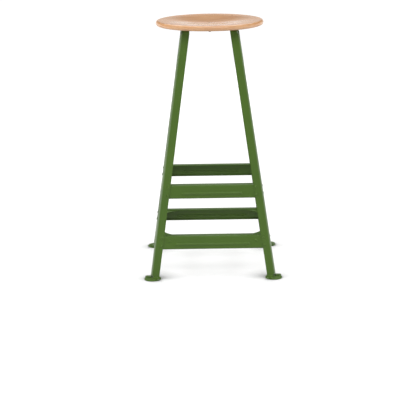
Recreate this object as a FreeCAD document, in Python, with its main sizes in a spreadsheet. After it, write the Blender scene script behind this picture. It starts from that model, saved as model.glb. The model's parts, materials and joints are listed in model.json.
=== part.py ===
import FreeCAD, Part
import os
import Sketcher
from FreeCAD import Placement, Rotation, Vector

# Bar stool with four splayed legs of folded sheet steel, two rings of beaded channel rails and a dished
# wooden seat. Millimetres, +Z up, origin on the floor under the middle of the seat, front towards -Y.

dimensions = {
    # seat
    "seat_height": 802,
    "seat_diameter": 344,
    "seat_edge": 7,
    "under_edge": 9.5,
    "under_slope": 40,
    "under_drop": 5,
    "rim_flat": 4,
    "rim_share": 0.5,
    "dish_depth": 8.5,
    # bolt, washer and nut in the middle of the seat
    "bolt_diameter": 8,
    "bolt_head": 15,
    "bolt_sink": 0.5,
    "bolt_overhang": 6.8,
    "bolt_clearance": 0.25,
    "washer_diameter": 24,
    "washer_thickness": 1.6,
    "nut_width": 13,
    "nut_height": 6.5,
    # plate under the seat
    "plate_thickness": 2.5,
    "plate_setback": 3,
    "plate_corner": 12,
    # frame outline over the outer faces of the legs, at the floor and at the leg tops
    "floor_span": 402,
    "top_span": 182.4,
    # sheet of legs, rails and gussets, measured level
    "sheet": 2,
    # legs
    "leg_flange": 28,
    "leg_bend": 6,
    "tab_width": 20,
    "tab_bend": 3.5,
    "tab_round": 7,
    "foot_tab": 17,
    "seat_tab": 18,
    # foot discs
    "foot_diameter": 53,
    "foot_thickness": 4,
    "foot_inset": 8,
    "foot_edge": 1,
    "foot_rivet_recess": 0.5,
    # rails
    "lower_rail_height": 94.5,
    "upper_rail_height": 254.5,
    "rail_face": 42.5,
    "rail_shelf": 24,
    "rail_lip": 8,
    "rail_bend": 4,
    "rail_end_gap": 2,
    "mitre_gap": 1,
    # pressed bead along each rail
    "bead_width": 10,
    "bead_rise": 2.5,
    "bead_drop": 26.5,
    "bead_setback": 38,
    # corner gussets of the lower ring
    "gusset_reach": 66,
    "gusset_end": 19,
    "gusset_hollow": 70,
    "gusset_bend": 1.5,
    "gusset_gap": 0.5,
    "gusset_tab_place": 44,
    "gusset_tab_width": 22,
    "gusset_tab_height": 26,
    # rivets
    "rivet_shank": 5,
    "rivet_head": 9.5,
    "rivet_rise": 1.6,
    "rivet_edge": 5.5,
    "rivet_drop": 7.5,
    "rivet_pitch": 23.5,
    "gusset_rivet_drop": 17,
}

doc = FreeCAD.newDocument("bar_stool")
sheet = doc.addObject("Spreadsheet::Sheet", "sizes")
for row, (alias, size) in enumerate(dimensions.items(), start=1):
    sheet.set(f"A{row}", alias)
    sheet.set(f"B{row}", str(size))
    sheet.setAlias(f"B{row}", alias)
doc.recompute()

nodes = []
sides = ["front", "right", "rear", "left"]
corners = ["front_left", "front_right", "rear_right", "rear_left"]
z_axis = Vector(0, 0, 1)

# levels and slopes that follow from the driving dimensions
edge_bottom = "(sizes.seat_height - sizes.seat_edge - sizes.under_edge)"
seat_bottom = f"({edge_bottom} - sizes.under_drop)"
leg_top = f"({seat_bottom} - sizes.plate_thickness)"
splay = f"((sizes.floor_span - sizes.top_span) / 2 / {leg_top})"
skin = f"(sizes.sheet * cos(atan({splay})))"
tab_rise = "(sizes.sheet + 2 * sizes.tab_bend)"
leg_start = f"(sizes.foot_thickness + {tab_rise})"
leg_end = f"({leg_top} - {tab_rise})"
dome = "((sizes.rivet_head^2 / 4 + sizes.rivet_rise^2) / (2 * sizes.rivet_rise))"
lower_top = "(sizes.lower_rail_height + sizes.rail_face)"
upper_top = "(sizes.upper_rail_height + sizes.rail_face)"


def half(level):
    # half the width over the outer faces of the legs at a height
    return f"(sizes.floor_span / 2 - {splay} * ({level}))"


def number(expression):
    result = sheet.evalExpression(expression)
    return float(getattr(result, "Value", result))


def origin_feature(body, role):
    return next(item for item in body.Origin.OriginFeatures if item.Role == role)


def new_body(name):
    return doc.addObject("PartDesign::Body", name)


def new_sketch(body, role, name, place=("0", "0", "0"), tilted=False):
    # sketch on an origin plane, shifted in its own axes; a tilted one lies square to the splayed sheet
    sketch = body.newObject("Sketcher::SketchObject", name)
    sketch.AttachmentSupport = [(origin_feature(body, role), "")]
    sketch.MapMode = "FlatFace"
    angle = number(f"atan({splay})") if tilted else 0
    base = Vector(*[number(item) for item in place])
    sketch.AttachmentOffset = Placement(base, Rotation(Vector(0, 0, -1), angle))
    for axis, expression in zip("xyz", place):
        sketch.setExpression(f"AttachmentOffset.Base.{axis}", expression)
    if tilted:
        sketch.setExpression("AttachmentOffset.Rotation.Angle", f"atan({splay})")
    return sketch


def arc_through(start, end, radius, turn):
    # arc from start to end, anticlockwise for turn 1 and clockwise for turn -1
    chord = end - start
    reach = (radius ** 2 - chord.Length ** 2 / 4) ** 0.5
    centre = (start + end) * 0.5 + Vector(-chord.y, chord.x, 0).normalize() * reach * turn
    first, last = (start, end) if turn > 0 else (end, start)
    x_axis = Vector(1, 0, 0)
    angles = [x_axis.getAngle(p - centre) * (1 if p.y >= centre.y else -1) for p in (first, last)]
    return Part.ArcOfCircle(Part.Circle(centre, z_axis, radius), *angles)


def outline(sketch, points, arcs=None):
    # closed outline through points given as expressions; arcs holds radius and turn by the start point
    arcs = arcs or {}
    values = [Vector(number(x), number(y), 0) for x, y in points]
    count = len(points)
    ends = []
    for index, start in enumerate(values):
        end = values[(index + 1) % count]
        if index in arcs:
            radius, turn = arcs[index]
            sketch.addGeometry(arc_through(start, end, number(radius), turn), False)
            ends.append((1, 2) if turn > 0 else (2, 1))
        else:
            sketch.addGeometry(Part.LineSegment(start, end), False)
            ends.append((1, 2))
    first = sketch.GeometryCount - count
    for index in range(count):
        after = (index + 1) % count
        here, there = ends[index][1], ends[after][0]
        sketch.addConstraint(Sketcher.Constraint("Coincident", first + index, here, first + after, there))
    for index, (point, value) in enumerate(zip(points, values)):
        for kind, expression, size in zip(("DistanceX", "DistanceY"), point, value):
            bound = Sketcher.Constraint(kind, -1, 1, first + index, ends[index][0], size)
            sketch.setExpression(f"Constraints[{sketch.addConstraint(bound)}]", expression)
    for index, (radius, turn) in arcs.items():
        bound = Sketcher.Constraint("Radius", first + index, number(radius))
        sketch.setExpression(f"Constraints[{sketch.addConstraint(bound)}]", radius)
    return sketch


def pad(body, sketch, length, midplane=False, backwards=False):
    feature = body.newObject("PartDesign::Pad", f"{sketch.Name}_pad")
    feature.Profile = sketch
    feature.setExpression("Length", length)
    feature.Midplane = midplane
    feature.Reversed = backwards
    doc.recompute([feature])
    return feature


def cut_through(body, sketch):
    feature = body.newObject("PartDesign::Pocket", f"{sketch.Name}_cut")
    feature.Profile = sketch
    feature.Type = "ThroughAll"
    feature.Midplane = True
    doc.recompute([feature])
    return feature


def revolve(body, sketch, axis, kind="Revolution"):
    feature = body.newObject(f"PartDesign::{kind}", f"{sketch.Name}_turn")
    feature.Profile = sketch
    feature.ReferenceAxis = (sketch, [axis])
    feature.Angle = 360
    doc.recompute([feature])
    return feature


def mirror(body, feature):
    # the same feature on the other side of the middle plane
    copy = body.newObject("PartDesign::Mirrored", f"{feature.Name}_mirror")
    copy.Originals = [feature]
    copy.MirrorPlane = (origin_feature(body, "YZ_Plane"), [""])
    body.Tip = copy
    doc.recompute([copy])
    return copy


def round_edges(body, radius, points):
    # fillet on the edges nearest to points given as expressions
    tip = body.Tip
    names = set()
    for point in points:
        probe = Part.Vertex(*[number(item) for item in point])
        gaps = [edge.distToShape(probe)[0] for edge in tip.Shape.Edges]
        names.add(f"Edge{gaps.index(min(gaps)) + 1}")
    fillet = body.newObject("PartDesign::Fillet", f"{body.Name}_bend")
    fillet.Base = (tip, sorted(names))
    fillet.setExpression("Radius", radius)
    doc.recompute([fillet])
    return fillet


def finish(item, label):
    item.Label = label
    nodes.append(item)


def bored(body, bores, label):
    # the piece with its rivet holes
    body.Label = f"{label}_blank"
    cut = doc.addObject("Part::Cut", f"{label}_bored")
    cut.Base = body
    cut.Tool = bores
    finish(cut, label)


def quarter_turn(body, step):
    body.Placement = Placement(Vector(), Rotation(z_axis, 90 * step))


def around(body, features):
    # both ends of a side, then all four sides
    both = body.newObject("PartDesign::Mirrored", f"{body.Name}_ends")
    both.MirrorPlane = (origin_feature(body, "YZ_Plane"), [""])
    four = body.newObject("PartDesign::PolarPattern", f"{body.Name}_sides")
    four.Axis = (origin_feature(body, "Z_Axis"), [""])
    four.Angle = 360
    four.Occurrences = 4
    pattern = body.newObject("PartDesign::MultiTransform", f"{body.Name}_around")
    pattern.Originals = features
    pattern.Transformations = [both, four]
    body.Tip = pattern
    doc.recompute([pattern])


# rivets

def flank_rivets(name, stations, inset):
    # rivets square to the splayed sheet; a station is a height and a distance from the middle
    depth = f"2 * {skin}"
    rivets = new_body(name)
    bores = new_body(f"{name}_bores")
    rivet_turns = []
    bore_turns = []
    for index, (level, across) in enumerate(stations):
        place = (f"{inset} - {half(level)}", level, across)
        sketch = new_sketch(rivets, "YZ_Plane", f"{name}_{index}", place, tilted=True)
        outline(sketch, [("-sizes.rivet_rise", "0"), ("0", "sizes.rivet_head / 2"),
                         ("0", "sizes.rivet_shank / 2"), (depth, "sizes.rivet_shank / 2"), (depth, "0")],
                {0: (dome, -1)})
        rivet_turns.append(revolve(rivets, sketch, "H_Axis"))
        sketch = new_sketch(bores, "YZ_Plane", f"{name}_bore_{index}", place, tilted=True)
        outline(sketch, [("-sizes.sheet", "0"), ("-sizes.sheet", "sizes.rivet_shank / 2"),
                         (f"3 * {skin}", "sizes.rivet_shank / 2"), (f"3 * {skin}", "0")])
        bore_turns.append(revolve(bores, sketch, "H_Axis"))
    around(rivets, rivet_turns)
    around(bores, bore_turns)
    finish(rivets, name)
    return bores


def upright_rivets(name, across, out, seat, end):
    # upright rivets with the head on the level seat and the shank ending flush at end
    up = 1 if number(seat) > number(end) else -1
    rivets = new_body(name)
    bores = new_body(f"{name}_bores")
    place = (across, "0", f"-({out})")
    sketch = new_sketch(rivets, "XZ_Plane", f"{name}_head", place)
    outline(sketch, [("0", f"{seat} + {up} * sizes.rivet_rise"), ("0", end), ("sizes.rivet_shank / 2", end),
                     ("sizes.rivet_shank / 2", seat), ("sizes.rivet_head / 2", seat)], {4: (dome, up)})
    turn = revolve(rivets, sketch, "V_Axis")
    around(rivets, [turn])
    finish(rivets, name)
    sketch = new_sketch(bores, "XZ_Plane", f"{name}_bore", place)
    over = f"{seat} + {up} * sizes.sheet"
    under = f"{end} - {up} * sizes.sheet"
    outline(sketch, [("0", over), ("0", under), ("sizes.rivet_shank / 2", under),
                     ("sizes.rivet_shank / 2", over)])
    turn = revolve(bores, sketch, "V_Axis")
    around(bores, [turn])
    return bores


def rail_stations(top):
    levels = [f"({top} - sizes.rivet_drop)", f"({top} - sizes.rivet_drop - sizes.rivet_pitch)"]
    return [(level, f"{half(level)} - sizes.leg_flange + sizes.rivet_edge") for level in levels]


def make_rivets():
    gusset_level = f"({lower_top} - sizes.gusset_rivet_drop)"
    gusset_station = (gusset_level, f"{half(f'{lower_top} - sizes.sheet')} - sizes.gusset_tab_place")
    foot_across = f"{half(leg_start)} - sizes.leg_flange + sizes.tab_width / 2"
    foot_out = f"-{half('sizes.foot_thickness')} - (sizes.foot_tab + sizes.tab_bend) / 2"
    seat_across = f"{half(leg_end)} - sizes.leg_flange + sizes.rivet_edge"
    seat_out = f"-{half(leg_top)} + (sizes.seat_tab + sizes.sheet + sizes.tab_bend) / 2"
    tools = [
        flank_rivets("upper_rail_rivets", rail_stations(upper_top), "0"),
        flank_rivets("lower_rail_rivets", rail_stations(lower_top), "0"),
        flank_rivets("gusset_rivets", [gusset_station], "sizes.sheet"),
        upright_rivets("foot_rivets", foot_across, foot_out, "sizes.foot_thickness + sizes.sheet",
                       "sizes.foot_rivet_recess"),
        upright_rivets("seat_plate_rivets", seat_across, seat_out, f"{leg_top} - sizes.sheet", seat_bottom),
    ]
    bores = doc.addObject("Part::Compound", "bores")
    bores.Links = tools
    doc.recompute()
    return bores


# legs

def leg_tab(body, name, level, points):
    # bent end of both flanges: the profile across a flange, as wide as the tab at the free edge
    start = f"sizes.leg_flange - sizes.tab_width - {half(level)}"
    front = new_sketch(body, "YZ_Plane", f"{name}_front", ("0", "0", start))
    pad(body, outline(front, points), "sizes.tab_width")
    side = new_sketch(body, "XZ_Plane", f"{name}_side", ("0", "0", f"-({start})"))
    pad(body, outline(side, points), "sizes.tab_width", backwards=True)


def both_ways(points):
    # the same points on the front flange and on the side flange
    return points + [(y, x, z) for x, y, z in points]


def make_leg(corner, step, bores):
    body = new_body(f"leg_{corner}_body")
    # folded angle, drawn level and raised along the slanting corner
    edge = f"-{half(leg_start)}"
    inner = f"sizes.sheet - {half(leg_start)}"
    free = f"sizes.leg_flange - {half(leg_start)}"
    section = new_sketch(body, "XY_Plane", f"leg_{corner}_section", ("0", "0", leg_start))
    outline(section, [(edge, edge), (free, edge), (free, inner), (inner, inner), (inner, free), (edge, free)])
    angle = body.newObject("PartDesign::Pad", f"leg_{corner}_angle")
    angle.Profile = section
    angle.UseCustomVector = True
    angle.Direction = Vector(number(splay), number(splay), 1)
    angle.setExpression("Direction.x", splay)
    angle.setExpression("Direction.y", splay)
    angle.AlongSketchNormal = True
    angle.setExpression("Length", f"{leg_end} - {leg_start}")
    doc.recompute([angle])
    middle = f"({leg_start} + {leg_end}) / 2"
    round_edges(body, "sizes.leg_bend", [(f"-{half(middle)}", f"-{half(middle)}", middle)])
    fold = f"sizes.sheet - {half(middle)}"
    round_edges(body, "sizes.leg_bend - sizes.sheet", [(fold, fold, middle)])

    # foot tabs, bent outwards onto the disc
    low = "sizes.foot_thickness"
    high = "(sizes.foot_thickness + sizes.sheet)"
    tip = f"-{half(low)} - sizes.foot_tab"
    leg_tab(body, f"leg_{corner}_foot", leg_start, [
        (f"-{half(leg_start)}", leg_start), (f"-{half(high)}", high), (tip, high), (tip, low),
        (f"sizes.sheet - {half(low)}", low), (f"sizes.sheet - {half(leg_start)}", leg_start)])
    near = f"sizes.leg_flange - {half(leg_start)}"
    far = f"{near} - sizes.tab_width"
    centre = f"{near} - sizes.tab_width / 2"
    round_edges(body, "sizes.tab_bend", both_ways([(centre, f"-{half(high)}", high)]))
    round_edges(body, "sizes.tab_bend + sizes.sheet",
                both_ways([(centre, f"sizes.sheet - {half(low)}", low)]))
    tip_level = "sizes.foot_thickness + sizes.sheet / 2"
    round_edges(body, "sizes.tab_round", both_ways([(near, tip, tip_level), (far, tip, tip_level)]))

    # seat tabs, bent inwards under the seat plate
    low = f"({leg_top} - sizes.sheet)"
    tip = f"sizes.seat_tab - {half(leg_top)}"
    leg_tab(body, f"leg_{corner}_seat", leg_end, [
        (f"-{half(leg_end)}", leg_end), (f"-{half(leg_top)}", leg_top), (tip, leg_top), (tip, low),
        (f"sizes.sheet - {half(low)}", low), (f"sizes.sheet - {half(leg_end)}", leg_end)])
    centre = f"sizes.leg_flange - {half(leg_end)} - sizes.tab_width / 4"
    round_edges(body, "sizes.tab_bend + sizes.sheet", both_ways([(centre, f"-{half(leg_top)}", leg_top)]))
    round_edges(body, "sizes.tab_bend", both_ways([(centre, f"sizes.sheet - {half(low)}", low)]))
    quarter_turn(body, step)
    bored(body, bores, f"leg_{corner}")


# rails

def make_rail(ring, side, step, bores):
    name = f"{ring}_rail_{side}"
    low = f"sizes.{ring}_rail_height"
    high = f"({low} + sizes.rail_face)"
    body = new_body(f"{name}_body")

    # channel: splayed face, level shelf on top, short lip below
    face_low = f"sizes.sheet - {half(low)}"
    face_high = f"sizes.sheet - {half(high)}"
    back_low = f"2 * sizes.sheet - {half(f'{low} + sizes.sheet')}"
    back_high = f"2 * sizes.sheet - {half(f'{high} - sizes.sheet')}"
    section = new_sketch(body, "YZ_Plane", f"{name}_section")
    outline(section, [
        (face_low, low), (f"{face_low} + sizes.rail_lip", low),
        (f"{face_low} + sizes.rail_lip", f"{low} + sizes.sheet"), (back_low, f"{low} + sizes.sheet"),
        (back_high, f"{high} - sizes.sheet"), (f"{face_high} + sizes.rail_shelf", f"{high} - sizes.sheet"),
        (f"{face_high} + sizes.rail_shelf", high), (face_high, high)])
    pad(body, section, f"2 * {half(low)}", midplane=True)
    round_edges(body, "sizes.rail_bend", [("0", face_low, low), ("0", face_high, high)])
    round_edges(body, "sizes.rail_bend - sizes.sheet", [
        ("0", back_low, f"{low} + sizes.sheet"), ("0", back_high, f"{high} - sizes.sheet")])

    # ends: the face stops short of the next leg flange, shelf and lip are mitred
    below = f"({low} - sizes.rail_face)"
    above = f"({high} + sizes.rail_face)"
    stop = "sizes.leg_bend + sizes.rail_end_gap"
    beyond = f"-{half(below)} - sizes.leg_flange"
    ends = new_sketch(body, "XZ_Plane", f"{name}_end")
    outline(ends, [(f"{stop} - {half(below)}", below), (f"{stop} - {half(above)}", above),
                   (beyond, above), (beyond, below)])
    mirror(body, cut_through(body, ends))
    outside = f"-{half(below)}"
    inside = f"sizes.rail_shelf + 2 * sizes.sheet - {half(high)}"
    mitre = new_sketch(body, "XY_Plane", f"{name}_mitre")
    outline(mitre, [(f"{outside} + sizes.mitre_gap", outside), (f"{inside} + sizes.mitre_gap", inside),
                    (f"{outside} + sizes.mitre_gap", inside)])
    mirror(body, cut_through(body, mitre))

    # bead: a rounded ridge outside, its hollow inside, both with round ends
    level = f"({high} - sizes.bead_drop)"
    reach = f"({half(level)} - sizes.leg_flange - sizes.bead_setback - sizes.bead_width / 2)"
    curve = "((sizes.bead_width^2 / 4 + sizes.bead_rise^2) / (2 * sizes.bead_rise))"
    hollow = f"({curve} - {skin})"
    mouth = f"sqrt({hollow}^2 - ({hollow} - sizes.bead_rise)^2)"
    face = f"sizes.sheet - {half(level)}"
    edge = "sizes.bead_width / 2"
    root = f"{skin} / 2"
    ridge = new_sketch(body, "YZ_Plane", f"{name}_ridge", (face, level, "0"), tilted=True)
    outline(ridge, [("0", edge), ("0", f"-{edge}"), (root, f"-{edge}"), (root, edge)], {0: (curve, 1)})
    pad(body, ridge, f"2 * {reach}", midplane=True)
    tip = new_sketch(body, "YZ_Plane", f"{name}_ridge_end", (face, level, reach), tilted=True)
    outline(tip, [("-sizes.bead_rise", "0"), ("0", edge), (root, edge), (root, "0")], {0: (curve, -1)})
    mirror(body, revolve(body, tip, "H_Axis"))
    back = f"{skin} + sizes.sheet"
    trough = new_sketch(body, "YZ_Plane", f"{name}_trough", (face, level, "0"), tilted=True)
    outline(trough, [(skin, mouth), (skin, f"-{mouth}"), (back, f"-{mouth}"), (back, mouth)],
            {0: (hollow, 1)})
    groove = body.newObject("PartDesign::Pocket", f"{name}_trough_cut")
    groove.Profile = trough
    groove.setExpression("Length", f"2 * {reach}")
    groove.Midplane = True
    doc.recompute([groove])
    tip = new_sketch(body, "YZ_Plane", f"{name}_trough_end", (face, level, reach), tilted=True)
    outline(tip, [(f"{skin} - sizes.bead_rise", "0"), (skin, mouth), (back, mouth), (back, "0")],
            {0: (hollow, -1)})
    mirror(body, revolve(body, tip, "H_Axis", "Groove"))
    quarter_turn(body, step)
    bored(body, bores, name)


# corner gussets of the lower ring

def make_gusset(corner, step, bores):
    name = f"corner_gusset_{corner}"
    high = f"({lower_top} - sizes.sheet)"
    thick_low = f"({high} - sizes.sheet)"
    body = new_body(f"{name}_body")
    # plate under the shelves of two rails, with a hollow front edge
    near = f"3 * sizes.sheet + sizes.gusset_bend + sizes.gusset_gap - {half(high)}"
    deep = f"{near} + sizes.gusset_end"
    far = f"sizes.gusset_reach - {half(high)}"
    plate = new_sketch(body, "XY_Plane", f"{name}_plate", ("0", "0", thick_low))
    outline(plate, [(near, near), (far, near), (far, deep), (deep, far), (near, far)],
            {2: ("sizes.gusset_hollow", -1)})
    pad(body, plate, "sizes.sheet")
    # tabs turned down against the backs of the rails
    foot = f"({high} - sizes.gusset_tab_height)"
    profile = [
        (f"2 * sizes.sheet - {half(high)}", high), (f"2 * sizes.sheet - {half(foot)}", foot),
        (f"3 * sizes.sheet - {half(foot)}", foot), (f"3 * sizes.sheet - {half(thick_low)}", thick_low),
        (deep, thick_low), (deep, high)]
    start = f"sizes.gusset_tab_place - sizes.gusset_tab_width / 2 - {half(high)}"
    front = new_sketch(body, "YZ_Plane", f"{name}_front", ("0", "0", start))
    pad(body, outline(front, profile), "sizes.gusset_tab_width")
    side_tab = new_sketch(body, "XZ_Plane", f"{name}_side", ("0", "0", f"-({start})"))
    pad(body, outline(side_tab, profile), "sizes.gusset_tab_width", backwards=True)
    centre = f"sizes.gusset_tab_place - {half(high)}"
    round_edges(body, "sizes.gusset_bend + sizes.sheet",
                both_ways([(centre, f"2 * sizes.sheet - {half(high)}", high)]))
    round_edges(body, "sizes.gusset_bend",
                both_ways([(centre, f"3 * sizes.sheet - {half(thick_low)}", thick_low)]))
    quarter_turn(body, step)
    bored(body, bores, name)


# foot discs

def make_foot(corner, signs, bores):
    name = f"foot_disc_{corner}"
    body = new_body(f"{name}_body")
    profile = new_sketch(body, "XZ_Plane", f"{name}_profile")
    radius = "sizes.foot_diameter / 2"
    outline(profile, [
        ("0", "0"), (radius, "0"), (radius, "sizes.foot_thickness - sizes.foot_edge"),
        (f"{radius} - sizes.foot_edge", "sizes.foot_thickness"), ("0", "sizes.foot_thickness")])
    revolve(body, profile, "V_Axis")
    for axis, sign in zip("xy", signs):
        body.setExpression(f"Placement.Base.{axis}", f"{sign} * (sizes.floor_span / 2 - sizes.foot_inset)")
    doc.recompute()
    bored(body, bores, name)


# seat, its plate and its bolt

dish_bottom = "(sizes.seat_height - sizes.dish_depth)"
head_top = f"({dish_bottom} - sizes.bolt_sink)"
head_bottom = f"({head_top} - (sizes.bolt_head - sizes.bolt_diameter) / 2)"
bolt_bore = "(sizes.bolt_diameter / 2 + sizes.bolt_clearance)"


def make_seat():
    body = new_body("seat_body")
    radius = "sizes.seat_diameter / 2"
    bottom = seat_bottom
    top = "sizes.seat_height"
    # the top is a hollow bowl that runs into a crowned rim, two arcs that meet in one tangent
    crest = f"({radius} - sizes.seat_edge - sizes.rim_flat)"
    span = f"(({crest}^2 + sizes.dish_depth^2) / (2 * sizes.dish_depth))"
    bowl = "(1 - sizes.rim_share)"
    flat = f"{radius} - sizes.under_edge - sizes.under_slope"
    profile = new_sketch(body, "XZ_Plane", "seat_profile")
    outline(profile, [
        ("0", bottom), (flat, bottom), (f"{radius} - sizes.under_edge", edge_bottom),
        (radius, f"{top} - sizes.seat_edge"), (f"{radius} - sizes.seat_edge", top), (crest, top),
        (f"{crest} * {bowl}", f"{dish_bottom} + sizes.dish_depth * {bowl}"), ("0", dish_bottom)],
        {2: ("sizes.under_edge", 1), 3: ("sizes.seat_edge", 1), 5: (f"{span} * sizes.rim_share", 1),
         6: (f"{span} * {bowl}", -1)})
    revolve(body, profile, "V_Axis")
    hole = new_sketch(body, "XZ_Plane", "seat_hole")
    under = f"{bottom} - sizes.bolt_sink"
    head = "sizes.bolt_head / 2"
    outline(hole, [
        ("0", under), (bolt_bore, under), (bolt_bore, f"{head_bottom} + sizes.bolt_clearance"),
        (head, head_top), (head, top), ("0", top)])
    revolve(body, hole, "V_Axis", "Groove")
    finish(body, "seat")


def make_bolt():
    body = new_body("seat_bolt_body")
    end = f"{leg_top} - sizes.washer_thickness - sizes.nut_height - sizes.bolt_overhang"
    shank = "sizes.bolt_diameter / 2"
    profile = new_sketch(body, "XZ_Plane", "bolt_profile")
    outline(profile, [
        ("0", end), (shank, end), (shank, head_bottom), ("sizes.bolt_head / 2", head_top), ("0", head_top)])
    revolve(body, profile, "V_Axis")
    finish(body, "seat_bolt")


def make_ring(label, blank, height, bottom, bore):
    # washer or nut: a blank with a bore, both as high as the piece
    hole = doc.addObject("Part::Cylinder", f"{label}_bore")
    hole.setExpression("Radius", bore)
    cut = doc.addObject("Part::Cut", f"{label}_piece")
    for item in (blank, hole):
        item.setExpression("Height", height)
        item.setExpression("Placement.Base.z", bottom)
    cut.Base = blank
    cut.Tool = hole
    finish(cut, label)


def make_washer_and_nut():
    washer = doc.addObject("Part::Cylinder", "washer_blank")
    washer.setExpression("Radius", "sizes.washer_diameter / 2")
    washer_bottom = f"{leg_top} - sizes.washer_thickness"
    make_ring("seat_washer", washer, "sizes.washer_thickness", washer_bottom, bolt_bore)
    nut = doc.addObject("Part::Prism", "nut_blank")
    nut.Polygon = 6
    nut.setExpression("Circumradius", "sizes.nut_width / sqrt(3)")
    nut_bottom = f"{washer_bottom} - sizes.nut_height"
    make_ring("seat_nut", nut, "sizes.nut_height", nut_bottom, "sizes.bolt_diameter / 2")


def make_seat_plate(bores):
    body = new_body("seat_plate_body")
    edge = f"({half(leg_top)} - sizes.plate_setback)"
    flat = f"({edge} - sizes.plate_corner)"
    square = new_sketch(body, "XY_Plane", "plate_square", ("0", "0", leg_top))
    outline(square, [
        (f"-{flat}", f"-{edge}"), (flat, f"-{edge}"), (edge, f"-{flat}"), (edge, flat),
        (flat, edge), (f"-{flat}", edge), (f"-{edge}", flat), (f"-{edge}", f"-{flat}")],
        {index: ("sizes.plate_corner", 1) for index in (1, 3, 5, 7)})
    pad(body, square, "sizes.plate_thickness")
    hole = new_sketch(body, "XZ_Plane", "plate_hole")
    low = f"{leg_top} - sizes.plate_thickness"
    high = f"{seat_bottom} + sizes.plate_thickness"
    outline(hole, [("0", low), (bolt_bore, low), (bolt_bore, high), ("0", high)])
    revolve(body, hole, "V_Axis", "Groove")
    bored(body, bores, "seat_plate")


make_seat()
make_bolt()
make_washer_and_nut()
bores = make_rivets()
make_seat_plate(bores)
for step, corner in enumerate(corners):
    make_leg(corner, step, bores)
    make_gusset(corner, step, bores)
for step, side in enumerate(sides):
    make_rail("upper", side, step, bores)
    make_rail("lower", side, step, bores)
for corner, signs in zip(corners, [(-1, -1), (1, -1), (1, 1), (-1, 1)]):
    make_foot(corner, signs, bores)
doc.recompute()

for item in doc.Objects:
    if "Invalid" in item.State or "Error" in item.State:
        raise RuntimeError(f"{item.Label} failed: {item.State}")
for item in nodes:
    if item.Shape.isNull() or not item.Shape.isValid():
        raise RuntimeError(f"{item.Label} has no valid shape")

os.makedirs("parts", exist_ok=True)
for item in nodes:
    item.Shape.exportStep(f"parts/{item.Label}.step")
    box = item.Shape.BoundBox
    print(f"{item.Label}: {len(item.Shape.Solids)} solids, {item.Shape.Volume:.0f} mm3, "
          f"{box.XLength:.1f} x {box.YLength:.1f} x {box.ZLength:.1f}")
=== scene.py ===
import bpy
import json
import math
from mathutils import Matrix, Vector


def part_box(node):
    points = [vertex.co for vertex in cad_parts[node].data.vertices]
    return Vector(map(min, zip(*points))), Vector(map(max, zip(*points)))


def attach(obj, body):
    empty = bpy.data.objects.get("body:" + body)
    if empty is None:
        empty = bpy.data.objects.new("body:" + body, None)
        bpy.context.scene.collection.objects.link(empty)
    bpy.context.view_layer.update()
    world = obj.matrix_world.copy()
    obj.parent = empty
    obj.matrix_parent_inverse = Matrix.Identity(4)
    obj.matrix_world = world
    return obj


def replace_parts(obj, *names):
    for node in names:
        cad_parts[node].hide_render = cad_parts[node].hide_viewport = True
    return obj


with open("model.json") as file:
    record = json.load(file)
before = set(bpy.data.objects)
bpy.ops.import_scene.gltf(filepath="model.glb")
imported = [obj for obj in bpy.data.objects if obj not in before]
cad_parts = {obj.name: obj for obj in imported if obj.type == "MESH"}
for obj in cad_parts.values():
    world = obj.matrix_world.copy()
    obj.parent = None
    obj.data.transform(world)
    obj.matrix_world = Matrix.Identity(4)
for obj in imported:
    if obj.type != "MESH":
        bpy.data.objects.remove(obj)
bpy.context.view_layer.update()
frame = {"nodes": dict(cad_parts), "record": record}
nodes = frame["nodes"]
print("frame loaded:", len(nodes), "nodes")


# camera, solved from the edges of the stool in the photo

cameraView = {
    "place": (-0.0431, -4.5798, 1.359),
    "yaw": 0.056,           # degrees to the right of +Y
    "pitch": 14.089,        # degrees down
    "roll": -0.818,
    "focalPixels": 1436.1,
    "framePixels": 400,
    "sensor": 36.0,         # mm
    "farthest": 100,
}


def makeCamera(view):
    yaw, pitch, roll = (math.radians(view[key]) for key in ("yaw", "pitch", "roll"))
    level = math.cos(pitch)
    ahead = Vector((math.sin(yaw) * level, math.cos(yaw) * level, -math.sin(pitch)))
    aside = Vector((math.cos(yaw), -math.sin(yaw), 0))
    upright = aside.cross(ahead)
    right = aside * math.cos(roll) + upright * math.sin(roll)
    up = right.cross(ahead)
    camera = bpy.data.cameras.new("photoCamera")
    camera.sensor_width = view["sensor"]
    camera.lens = view["sensor"] * view["focalPixels"] / view["framePixels"]
    camera.clip_end = view["farthest"]
    holder = bpy.data.objects.new("photoCamera", camera)
    turned = Matrix((right, up, -ahead)).transposed().to_4x4()
    holder.matrix_world = Matrix.Translation(view["place"]) @ turned
    bpy.context.scene.collection.objects.link(holder)
    bpy.context.scene.camera = holder


makeCamera(cameraView)
print("camera placed")


# shader helpers

def newMaterial(name):
    material = bpy.data.materials.new(name)
    material.use_nodes = True
    tree = material.node_tree
    tree.nodes.clear()
    out = tree.nodes.new("ShaderNodeOutputMaterial")
    return material, tree, out


def addNode(tree, kind, inputs=None, **settings):
    node = tree.nodes.new(kind)
    for key, value in settings.items():
        setattr(node, key, value)
    for key, value in (inputs or {}).items():
        if isinstance(value, bpy.types.NodeSocket):
            tree.links.new(value, node.inputs[key])
        else:
            node.inputs[key].default_value = value
    return node


def calculate(tree, operation, first, second=0.0):
    return addNode(tree, "ShaderNodeMath", {0: first, 1: second}, operation=operation).outputs[0]


def noiseAt(tree, place, scale, detail=2.0, roughness=0.5):
    node = addNode(tree, "ShaderNodeTexNoise",
                   {"Vector": place, "Scale": scale, "Detail": detail, "Roughness": roughness})
    return node.outputs[0]


def stretched(tree, place, scale):
    return addNode(tree, "ShaderNodeMapping", {"Vector": place, "Scale": scale}).outputs[0]


def spread(tree, value, low, high, newLow=0.0, newHigh=1.0):
    node = addNode(tree, "ShaderNodeMapRange", {
        "Value": value, "From Min": low, "From Max": high, "To Min": newLow, "To Max": newHigh})
    return node.outputs[0]


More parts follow.
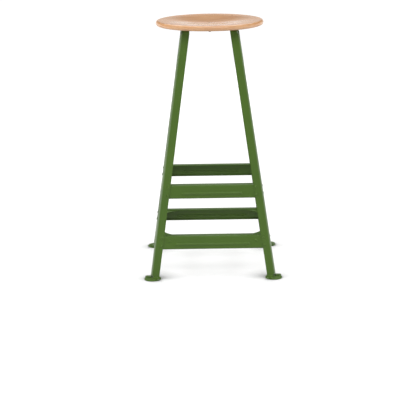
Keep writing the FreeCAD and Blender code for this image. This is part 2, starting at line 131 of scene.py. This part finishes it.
def blended(tree, factor, first, second, mode="MIX"):
    node = addNode(tree, "ShaderNodeMix", {"Factor": factor}, data_type="RGBA", blend_type=mode)
    for socket, value in ((node.inputs[6], first), (node.inputs[7], second)):
        if isinstance(value, bpy.types.NodeSocket):
            tree.links.new(value, socket)
        else:
            socket.default_value = value
    return node.outputs[2]


def srgb(red, green, blue):
    # screen colour 0 to 255 as scene linear
    def linear(value):
        value = value / 255
        return value / 12.92 if value <= 0.04045 else ((value + 0.055) / 1.055) ** 2.4
    return (linear(red), linear(green), linear(blue), 1.0)


# green enamel, sprayed over the riveted frame

enamel = {
    "colour": srgb(68, 96, 30),
    "deep": srgb(63, 90, 27),
    "thin": srgb(93, 121, 55),     # where the coat runs thin over a cut edge
    "toneScale": 5.0,
    "edgeRadius": 0.0009,
    "edgeSpan": (0.99, 0.8),       # agreement of the rounded normal and the flat one, from none worn to all
    "wornScale": 160.0,
    "wornSpan": (0.4, 0.62),
    "wornShare": 0.55,
    "peelScale": 380.0,
    "peelHeight": 0.00003,
    "peelStrength": 0.5,
    "glossScale": 45.0,
    "noiseSpan": (0.3, 0.7),       # the part of a noise that is used
    "roughness": (0.28, 0.36),
    "index": 1.38,
}
legFold = {
    "turn": (0.03, 0.3),           # from the start of a fold to where it shines most
    "roughness": 0.3,
    "index": 2.0,
}


def makeEnamel(name, settings, fold=None):
    material, tree, out = newMaterial(name)
    place = addNode(tree, "ShaderNodeTexCoord").outputs["Object"]
    tone = spread(tree, noiseAt(tree, place, settings["toneScale"], 4.0), *settings["noiseSpan"])
    coat = blended(tree, tone, settings["deep"], settings["colour"])
    # rounded normal over the sheet edges, and how far it leaves the flat one
    soft = addNode(tree, "ShaderNodeBevel", {"Radius": settings["edgeRadius"]}, samples=6).outputs[0]
    flat = addNode(tree, "ShaderNodeNewGeometry").outputs["Normal"]
    agree = addNode(tree, "ShaderNodeVectorMath", {0: soft, 1: flat}, operation="DOT_PRODUCT")
    edge = spread(tree, agree.outputs["Value"], *settings["edgeSpan"])
    patch = spread(tree, noiseAt(tree, place, settings["wornScale"], 3.0), *settings["wornSpan"])
    worn = calculate(tree, "MULTIPLY", calculate(tree, "MULTIPLY", edge, patch), settings["wornShare"])
    colour = blended(tree, worn, coat, settings["thin"])
    peel = noiseAt(tree, place, settings["peelScale"], 1.5)
    bump = addNode(tree, "ShaderNodeBump", {
        "Height": peel, "Distance": settings["peelHeight"], "Strength": settings["peelStrength"],
        "Normal": soft}).outputs[0]
    cloud = noiseAt(tree, place, settings["glossScale"], 3.0)
    gloss = spread(tree, cloud, *settings["noiseSpan"], *settings["roughness"])
    shader = addNode(tree, "ShaderNodeBsdfPrincipled", {
        "Base Color": colour, "Roughness": gloss, "IOR": settings["index"], "Normal": bump})
    if fold:
        # a glossier coat where the sheet turns from one side of the frame to the next
        turn = addNode(tree, "ShaderNodeSeparateXYZ", {0: flat}).outputs
        corner = calculate(tree, "ABSOLUTE", calculate(tree, "MULTIPLY", turn[0], turn[1]))
        tree.links.new(spread(tree, corner, *fold["turn"]), shader.inputs["Coat Weight"])
        tree.links.new(bump, shader.inputs["Coat Normal"])
        shader.inputs["Coat Roughness"].default_value = fold["roughness"]
        shader.inputs["Coat IOR"].default_value = fold["index"]
    tree.links.new(shader.outputs[0], out.inputs[0])
    return material


# solid beech, glued from staves that run left to right, under a satin lacquer

beech = {
    "early": srgb(215, 168, 121),
    "late": srgb(190, 131, 86),
    "fleck": srgb(147, 97, 66),
    "staveWidth": 0.058,
    "staveShift": 0.021,
    "staveTone": 0.13,              # how much darker the darkest stave is
    "staveJump": (7.0, 3.0),        # how far apart neighbouring staves are cut from the tree
    "ringSpacing": 0.0052,
    "ringPower": 2.6,               # slow start and sharp end of a year
    "boardLevel": 0.79,
    "heartDepth": 0.11,             # how far under the board the rings are centred
    "heartSpread": 0.09,
    "waveStretch": (2.2, 14.0, 14.0),
    "waveHeight": 0.034,
    "poreStretch": (90.0, 1500.0, 1500.0),
    "poreSpan": (0.3, 0.75),
    "poreDepth": 0.00003,
    "poreStrength": 0.25,
    "fleckStretch": (130.0, 780.0, 780.0),
    "fleckSpan": (0.32, 0.12),
    "fleckShare": 0.55,
    "streakStretch": (5.0, 90.0, 90.0),
    "shares": (0.42, 0.4, 0.18),    # rings, streaks and pores in the dark tone
    "glueWidth": 0.006,             # in stave widths
    "glueShade": 0.5,
    "glossScale": 14.0,
    "noiseSpan": (0.3, 0.7),        # the part of a noise that is used
    "roughness": (0.14, 0.2),       # polished top
    "dullness": 0.26,               # added on the underside, which is not polished
    "dullSpan": (0.1, -0.5),        # upward part of the normal, from polished to dull
    "index": 1.74,
}


def makeBeech(settings):
    material, tree, out = newMaterial("lacqueredBeech")
    place = addNode(tree, "ShaderNodeTexCoord").outputs["Object"]
    split = addNode(tree, "ShaderNodeSeparateXYZ", {0: place})
    x, y, z = split.outputs
    # stave number across the seat, and a few chance values for each stave
    width = settings["staveWidth"]
    lane = calculate(tree, "DIVIDE", calculate(tree, "ADD", y, settings["staveShift"]), width)
    stave = calculate(tree, "FLOOR", lane)
    chance = addNode(tree, "ShaderNodeTexWhiteNoise", {"W": stave}, noise_dimensions="1D")
    pick = addNode(tree, "ShaderNodeSeparateColor", {0: chance.outputs["Color"]}).outputs
    # rings round a heart line below the board, bent by slow waves along the grain
    jumpX, jumpY = settings["staveJump"]
    shifted = addNode(tree, "ShaderNodeCombineXYZ", {
        0: calculate(tree, "ADD", x, calculate(tree, "MULTIPLY", pick[0], jumpX)),
        1: calculate(tree, "ADD", y, calculate(tree, "MULTIPLY", pick[1], jumpY)), 2: z}).outputs[0]
    wave = noiseAt(tree, stretched(tree, shifted, settings["waveStretch"]), 1.0, 2.0)
    away = calculate(tree, "MULTIPLY", calculate(tree, "SUBTRACT", pick[2], 0.5), settings["heartSpread"])
    heartY = calculate(tree, "MULTIPLY", calculate(tree, "ADD", stave, 0.5), width)
    sideways = calculate(tree, "SUBTRACT", calculate(tree, "SUBTRACT", y, heartY), away)
    upward = calculate(tree, "SUBTRACT", z, settings["boardLevel"] - settings["heartDepth"])
    squares = calculate(tree, "ADD", calculate(tree, "MULTIPLY", sideways, sideways),
                        calculate(tree, "MULTIPLY", upward, upward))
    bend = calculate(tree, "MULTIPLY", wave, settings["waveHeight"])
    radius = calculate(tree, "ADD", calculate(tree, "SQRT", squares), bend)
    year = calculate(tree, "FRACT", calculate(tree, "DIVIDE", radius, settings["ringSpacing"]))
    ring = calculate(tree, "POWER", year, settings["ringPower"])
    # fine pores and the short dark flecks of beech
    pores = noiseAt(tree, stretched(tree, shifted, settings["poreStretch"]), 1.0, 2.0, 0.7)
    cells = addNode(tree, "ShaderNodeTexVoronoi", {
        "Vector": stretched(tree, shifted, settings["fleckStretch"]), "Scale": 1.0, "Randomness": 1.0})
    fleck = spread(tree, cells.outputs["Distance"], *settings["fleckSpan"], 0.0, settings["fleckShare"])
    fibres = noiseAt(tree, stretched(tree, shifted, settings["streakStretch"]), 1.0, 3.0)
    streak = spread(tree, fibres, *settings["noiseSpan"])
    ringShare, streakShare, poreShare = settings["shares"]
    mellow = calculate(tree, "ADD", calculate(tree, "MULTIPLY", ring, ringShare),
                       calculate(tree, "MULTIPLY", streak, streakShare))
    speckle = calculate(tree, "MULTIPLY", spread(tree, pores, *settings["poreSpan"]), poreShare)
    mellow = calculate(tree, "ADD", mellow, speckle)
    colour = blended(tree, mellow, settings["early"], settings["late"])
    colour = blended(tree, fleck, colour, settings["fleck"])
    # each stave a little lighter or darker, with a hairline of glue between
    tint = spread(tree, chance.outputs["Value"], 0.0, 1.0, 1.0 - settings["staveTone"], 1.0)
    shade = addNode(tree, "ShaderNodeCombineColor", {0: tint, 1: tint, 2: tint}).outputs[0]
    colour = blended(tree, 1.0, colour, shade, "MULTIPLY")
    seam = calculate(tree, "PINGPONG", lane, 0.5)
    glue = spread(tree, seam, 0.0, settings["glueWidth"], settings["glueShade"], 0.0)
    colour = blended(tree, glue, colour, settings["fleck"])
    relief = addNode(tree, "ShaderNodeBump", {
        "Height": pores, "Distance": settings["poreDepth"],
        "Strength": settings["poreStrength"]}).outputs[0]
    cloud = noiseAt(tree, place, settings["glossScale"], 3.0)
    gloss = spread(tree, cloud, *settings["noiseSpan"], *settings["roughness"])
    facing = addNode(tree, "ShaderNodeNewGeometry").outputs["Normal"]
    lean = addNode(tree, "ShaderNodeSeparateXYZ", {0: facing}).outputs["Z"]
    dull = spread(tree, lean, *settings["dullSpan"], 0.0, settings["dullness"])
    gloss = calculate(tree, "ADD", gloss, dull)
    shader = addNode(tree, "ShaderNodeBsdfPrincipled", {
        "Base Color": colour, "Roughness": gloss, "IOR": settings["index"], "Normal": relief})
    tree.links.new(shader.outputs[0], out.inputs[0])
    return material


# zinc on the bolt, washer and nut, dulled and a little yellow

zinc = {
    "colour": srgb(138, 130, 114),
    "dull": srgb(98, 92, 82),
    "cloudScale": 260.0,
    "cloudSpan": (0.35, 0.65),
    "grainScale": 2400.0,
    "grainDepth": 0.00002,
    "grainStrength": 0.5,
    "roughness": (0.28, 0.5),
}


def makeZinc(settings):
    material, tree, out = newMaterial("dullZinc")
    place = addNode(tree, "ShaderNodeTexCoord").outputs["Object"]
    cloud = spread(tree, noiseAt(tree, place, settings["cloudScale"], 4.0), *settings["cloudSpan"])
    colour = blended(tree, cloud, settings["dull"], settings["colour"])
    low, high = settings["roughness"]
    gloss = spread(tree, cloud, 0.0, 1.0, high, low)
    grain = noiseAt(tree, place, settings["grainScale"], 2.0)
    relief = addNode(tree, "ShaderNodeBump", {
        "Height": grain, "Distance": settings["grainDepth"],
        "Strength": settings["grainStrength"]}).outputs[0]
    shader = addNode(tree, "ShaderNodeBsdfPrincipled", {
        "Base Color": colour, "Roughness": gloss, "Metallic": 1.0, "Normal": relief})
    tree.links.new(shader.outputs[0], out.inputs[0])
    return material


finishes = {
    "frame_paint": makeEnamel("greenEnamel", enamel),
    "seat_wood": makeBeech(beech),
    "bolt_steel": makeZinc(zinc),
}
legFinish = makeEnamel("legEnamel", enamel, legFold)
for row in frame["record"]["subparts"]:
    mesh = nodes[row["node"]].data
    mesh.materials.clear()
    isLeg = row["node"].startswith("leg_")
    mesh.materials.append(legFinish if isLeg else finishes[row["material_slot"]])
print("finishes on")


# small parts drawn as rings of points that are skinned in order

sharpAngle = math.radians(34)  # a crease sharper than this stays crisp


def skinned(rows, closed=False):
    # faces between neighbouring rings; a ring of one point closes an end
    points, starts = [], []
    for row in rows:
        starts.append(len(points))
        points.extend(row)
    pairs = list(zip(range(len(rows)), range(1, len(rows))))
    if closed:
        pairs.append((len(rows) - 1, 0))
    faces = []
    for first, second in pairs:
        a, b = starts[first], starts[second]
        count = max(len(rows[first]), len(rows[second]))
        for step in range(count):
            after = (step + 1) % count
            if len(rows[first]) == 1:
                faces.append((a, b + after, b + step))
            elif len(rows[second]) == 1:
                faces.append((a + step, a + after, b))
            else:
                faces.append((a + step, a + after, b + after, b + step))
    return points, faces


def addPiece(name, parts, slot):
    # one object from several skins, fixed to the frame
    points, faces = [], []
    for partPoints, partFaces in parts:
        start = len(points)
        points.extend(partPoints)
        faces.extend(tuple(start + index for index in face) for face in partFaces)
    mesh = bpy.data.meshes.new(name)
    mesh.from_pydata(points, [], faces)
    mesh.polygons.foreach_set("use_smooth", [True] * len(mesh.polygons))
    mesh.set_sharp_from_angle(angle=sharpAngle)
    mesh.materials.append(finishes[slot])
    piece = bpy.data.objects.new(name, mesh)
    bpy.context.scene.collection.objects.link(piece)
    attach(piece, "root")
    return piece


def ring(count, radius, height):
    # radius and height are numbers, or functions of the angle
    row = []
    for step in range(count):
        angle = 2 * math.pi * step / count
        far = radius(angle) if callable(radius) else radius
        level = height(angle) if callable(height) else height
        row.append((far * math.cos(angle), far * math.sin(angle), level))
    return row


def hexagon(across):
    # distance from the middle to the side of a hexagon with a corner at angle 0
    return lambda angle: across / 2 / math.cos(angle % (math.pi / 3) - math.pi / 6)


# countersunk bolt with a hexagon socket and a rolled thread

bolt = {
    "around": 48,
    "shank": 0.004,
    "headRadius": 0.0075,
    "headHeight": 0.0035,
    "rimFlat": 0.0003,
    "rimInset": 1.6,                # in rim flats, where the rim meets the top
    "socketAcross": 0.005,
    "socketDepth": 0.0024,
    "socketFlare": (1.08, 0.0003),  # widening at the top and its depth
    "socketPoint": 0.0006,          # drill point at the bottom
    "pitch": 0.00125,
    "threadDepth": 0.0007,
    "threadLength": 0.0134,
    "threadRings": 84,
    "threadRoot": 0.12,             # flat at the root, in half turns
    "threadFlank": 0.76,
    "endRadius": 0.0029,
    "endInset": 0.96,
    "endSlope": 0.9,
}


def makeBolt(settings):
    low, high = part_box("seat_bolt")
    end, top = low[2], high[2]
    count, shank, pitch = settings["around"], settings["shank"], settings["pitch"]

    def threadRadius(level):
        fade = min(1.0, (end + settings["threadLength"] - level) / pitch)
        point = settings["endRadius"] + (level - end) * settings["endSlope"]

        def radius(angle):
            turn = abs(2 * ((level / pitch - angle / (2 * math.pi)) % 1) - 1)
            flank = min(1.0, max(0.0, (turn - settings["threadRoot"]) / settings["threadFlank"]))
            return min(point, shank - settings["threadDepth"] * fade * (1 - flank))
        return radius

    rows = [[(0, 0, end)], ring(count, settings["endRadius"] * settings["endInset"], end)]
    rings = settings["threadRings"]
    for step in range(1, rings + 1):
        level = end + settings["threadLength"] * step / rings
        rows.append(ring(count, threadRadius(level), level))
    rim, flat = settings["headRadius"], settings["rimFlat"]
    rows.append(ring(count, shank, top - settings["headHeight"]))
    rows.append(ring(count, rim - flat, top - flat))
    rows.append(ring(count, rim - settings["rimInset"] * flat, top))
    socket = hexagon(settings["socketAcross"])
    widening, flare = settings["socketFlare"]
    rows.append(ring(count, lambda angle: socket(angle) * widening, top))
    rows.append(ring(count, socket, top - flare))
    rows.append(ring(count, socket, top - settings["socketDepth"]))
    rows.append([(0, 0, top - settings["socketDepth"] - settings["socketPoint"])])
    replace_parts(addPiece("seatBolt", [skinned(rows)], "bolt_steel"), "seat_bolt")


makeBolt(bolt)


# hexagon nut with turned chamfers

nut = {
    "around": 72,
    "across": 0.013,
    "chamferRadius": 0.0066,
    "chamferSlope": math.tan(math.radians(30)),
    "cornerInset": 0.00005,         # small break between a chamfer and the flat face
    "cornerDrop": 0.00003,
    "bore": 0.004,
    "boreFlare": 0.0003,
}


def makeNut(settings):
    low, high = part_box("seat_nut")
    bottom, top = low[2], high[2]
    count, bore, flare = settings["around"], settings["bore"], settings["boreFlare"]
    side = hexagon(settings["across"])

    def turned(angle):
        return min(side(angle), settings["chamferRadius"]) - settings["cornerInset"]

    def drop(angle):
        outside = max(0.0, side(angle) - settings["chamferRadius"])
        return outside * settings["chamferSlope"] + settings["cornerDrop"]

    rows = [
        ring(count, bore + flare, bottom),
        ring(count, turned, bottom),
        ring(count, side, lambda angle: bottom + drop(angle)),
        ring(count, side, lambda angle: top - drop(angle)),
        ring(count, turned, top),
        ring(count, bore + flare, top),
        ring(count, bore, top - flare),
        ring(count, bore, bottom + flare),
    ]
    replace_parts(addPiece("seatNut", [skinned(rows, closed=True)], "bolt_steel"), "seat_nut")


makeNut(nut)


# closing heads of the rivets, pressed flat on the inner side of the sheets

rivetTails = {
    "around": 20,
    "profile": (                    # radius and height over the sheet
        (0.0039, -0.0001), (0.0041, 0.0003), (0.004, 0.0008), (0.0033, 0.00115), (0.0018, 0.0013)),
    "crown": 0.00132,
    "wobble": (0.03, 0.015),        # uneven outline from the press, broad and fine
    "floorHalf": 0.201,             # half the width over the legs at the floor
    "splay": 0.14113,               # how much of it is lost for each metre of height
    "sheet": 0.002,
    "edge": 0.0225,                 # rivet line from the outer corner
    "upperLevels": (0.2895, 0.266),
    "lowerLevels": (0.1295, 0.106),
    "gussetLevel": 0.12,
    "gussetEdge": (0.135, 0.044),   # height where it is measured, distance from the outer corner
}


def halfAt(settings, level):
    # from the middle to the outer face of the frame
    return settings["floorHalf"] - settings["splay"] * level


def makeTail(settings, place, inward, chance):
    side = Vector((0, 0, 1)).cross(inward).normalized()
    up = inward.cross(side)
    broad, fine = settings["wobble"]
    rows = [[place + inward * settings["profile"][0][1]]]
    for radius, height in settings["profile"]:
        row = []
        for step in range(settings["around"]):
            angle = 2 * math.pi * step / settings["around"]
            uneven = 1 + broad * math.sin(2 * angle + chance) + fine * math.sin(5 * angle + 2 * chance)
            out = side * math.cos(angle) + up * math.sin(angle)
            row.append(place + out * radius * uneven + inward * height)
        rows.append(row)
    rows.append([place + inward * settings["crown"]])
    return skinned(rows)


def makeTails(settings, name, stations, inset):
    # a station is a height and a distance from the middle; both ends of all four sides
    lean = math.atan(settings["splay"])
    inward = Vector((0, math.cos(lean), -math.sin(lean)))
    depth = 2 * settings["sheet"] * math.cos(lean)
    parts = []
    for level, across in stations:
        face = halfAt(settings, level) - inset
        for turn in range(4):
            spin = Matrix.Rotation(math.pi / 2 * turn, 3, "Z")
            for sign in (-1, 1):
                place = Vector((sign * across, -face, level)) + inward * depth
                chance = 7300 * level + 1.9 * turn + sign  # another outline for each rivet
                parts.append(makeTail(settings, spin @ place, spin @ inward, chance))
    addPiece(name, parts, "frame_paint")


for name, key in (("upperRailTails", "upperLevels"), ("lowerRailTails", "lowerLevels")):
    stations = [(level, halfAt(rivetTails, level) - rivetTails["edge"]) for level in rivetTails[key]]
    makeTails(rivetTails, name, stations, 0)
gussetHeight, gussetIn = rivetTails["gussetEdge"]
stations = [(rivetTails["gussetLevel"], halfAt(rivetTails, gussetHeight) - gussetIn)]
makeTails(rivetTails, "gussetTails", stations, rivetTails["sheet"])
print("small parts made")


# floor and light: white all round, broad lamps on both sides, in front and behind

studio = {
    "floorSize": 30.0,
    "floorColour": 0.4,             # as seen, where the glow makes up the rest of the white
    "floorBounce": 0.48,            # as the stool is lit by it
    "floorGlow": (0.6, 0.95),       # near the stool and far away, where the lamps fade
    "glowReach": (1.0, 7.0),
    "paintedShadowReach": 0.1,            # how far the painted shadow round a foot spreads
    "paintedShadowSpan": (0.74, 0.98),    # openness of the floor, from full painted shadow to none
    "paintedShadowDepth": 0.9,
    "skyStrength": 0.26,            # what the surroundings give to matt surfaces
    "skyHeights": (                 # sine of the height and brightness, as gloss shows it
        (0.07, 1.0), (0.19, 0.1), (0.5, 0.12), (0.85, 0.7)),
    "lamps": {                      # place, width and height, power, whether gloss shows it
        "leftLight": ((-3.0, -0.3, 2.2), (2.6, 2.6), 104.0, False),
        "rightLight": ((3.0, -0.3, 2.2), (2.6, 2.6), 92.0, False),
        "frontLight": ((0.3, -3.0, 2.9), (5.0, 1.2), 76.0, True),
        "lowLight": ((-1.6, -4.4, 0.9), (1.8, 1.4), 44.0, False),
        "rearLight": ((0.0, 3.0, 3.6), (3.0, 2.0), 72.0, True),
        "rearFill": ((0.8, 4.0, 1.4), (2.0, 2.0), 40.0, False),
    },
    "aim": (0, 0, 0.45),
}


def grey(level):
    return (level, level, level, 1)


def seenDirectly(tree):
    # 1 for what the camera sees straight, mirrored or through glass
    path = addNode(tree, "ShaderNodeLightPath").outputs
    some = calculate(tree, "MAXIMUM", path["Is Camera Ray"], path["Is Glossy Ray"])
    return calculate(tree, "MAXIMUM", some, path["Is Transmission Ray"])


def makeLamp(name, place, size, power, mirrored, aim):
    lamp = bpy.data.lights.new(name, "AREA")
    lamp.shape = "RECTANGLE"
    lamp.size, lamp.size_y = size
    lamp.energy = power
    holder = bpy.data.objects.new(name, lamp)
    holder.location = place
    holder.rotation_euler = (Vector(aim) - holder.location).to_track_quat("-Z", "Y").to_euler()
    holder.visible_glossy = mirrored  # a lamp just above the seat would whiten it from the far side
    bpy.context.scene.collection.objects.link(holder)


def makeFloor(settings):
    half = settings["floorSize"] / 2
    corners = [(-half, -half, 0), (half, -half, 0), (half, half, 0), (-half, half, 0)]
    mesh = bpy.data.meshes.new("studioFloor")
    mesh.from_pydata(corners, [], [(0, 1, 2, 3)])
    floor = bpy.data.objects.new("studioFloor", mesh)
    bpy.context.scene.collection.objects.link(floor)
    material, tree, out = newMaterial("studioFloor")
    seen = seenDirectly(tree)
    paint = blended(tree, seen, grey(settings["floorBounce"]), grey(settings["floorColour"]))
    matt = addNode(tree, "ShaderNodeBsdfDiffuse", {"Color": paint})
    place = addNode(tree, "ShaderNodeTexCoord").outputs["Object"]
    away = addNode(tree, "ShaderNodeVectorMath", {0: place}, operation="LENGTH").outputs["Value"]
    level = spread(tree, away, *settings["glowReach"], *settings["floorGlow"])
    # painted contact shadow: the floor's glow is dimmed where ambient occlusion finds the feet close by
    free = addNode(tree, "ShaderNodeAmbientOcclusion", {"Distance": settings["paintedShadowReach"]}, samples=8)
    contact = spread(tree, free.outputs["AO"], *settings["paintedShadowSpan"], 1 - settings["paintedShadowDepth"], 1.0)
    level = calculate(tree, "MULTIPLY", level, contact)
    glow = addNode(tree, "ShaderNodeEmission", {"Strength": calculate(tree, "MULTIPLY", seen, level)})
    both = addNode(tree, "ShaderNodeAddShader", {0: matt.outputs[0], 1: glow.outputs[0]})
    # open from below, so that the underside can be looked at
    below = addNode(tree, "ShaderNodeNewGeometry").outputs["Backfacing"]
    clear = addNode(tree, "ShaderNodeBsdfTransparent")
    oneSided = addNode(tree, "ShaderNodeMixShader", {0: below, 1: both.outputs[0], 2: clear.outputs[0]})
    tree.links.new(oneSided.outputs[0], out.inputs[0])
    mesh.materials.append(material)


def makeSky(settings):
    world = bpy.data.worlds.new("studio")
    bpy.context.scene.world = world
    world.use_nodes = True
    tree = world.node_tree
    sky = tree.nodes["Background"]
    # white up to a little over the horizon, dimmer above, a pale ceiling
    ahead = addNode(tree, "ShaderNodeTexCoord").outputs["Generated"]
    height = addNode(tree, "ShaderNodeSeparateXYZ", {0: ahead}).outputs["Z"]
    ramp = addNode(tree, "ShaderNodeValToRGB", {"Fac": height})
    steps = ramp.color_ramp.elements
    while len(steps) < len(settings["skyHeights"]):
        steps.new(0.5)
    for step, (where, bright) in zip(steps, settings["skyHeights"]):
        step.position = where
        step.color = grey(bright)
    level = blended(tree, seenDirectly(tree), grey(settings["skyStrength"]), ramp.outputs["Color"])
    straight = addNode(tree, "ShaderNodeLightPath").outputs["Is Camera Ray"]
    level = blended(tree, straight, level, grey(1))
    tree.links.new(level, sky.inputs["Color"])


makeFloor(studio)
makeSky(studio)
for name, lamp in studio["lamps"].items():
    makeLamp(name, *lamp, studio["aim"])
bpy.context.scene.view_settings.view_transform = "Standard"
print("studio lit")
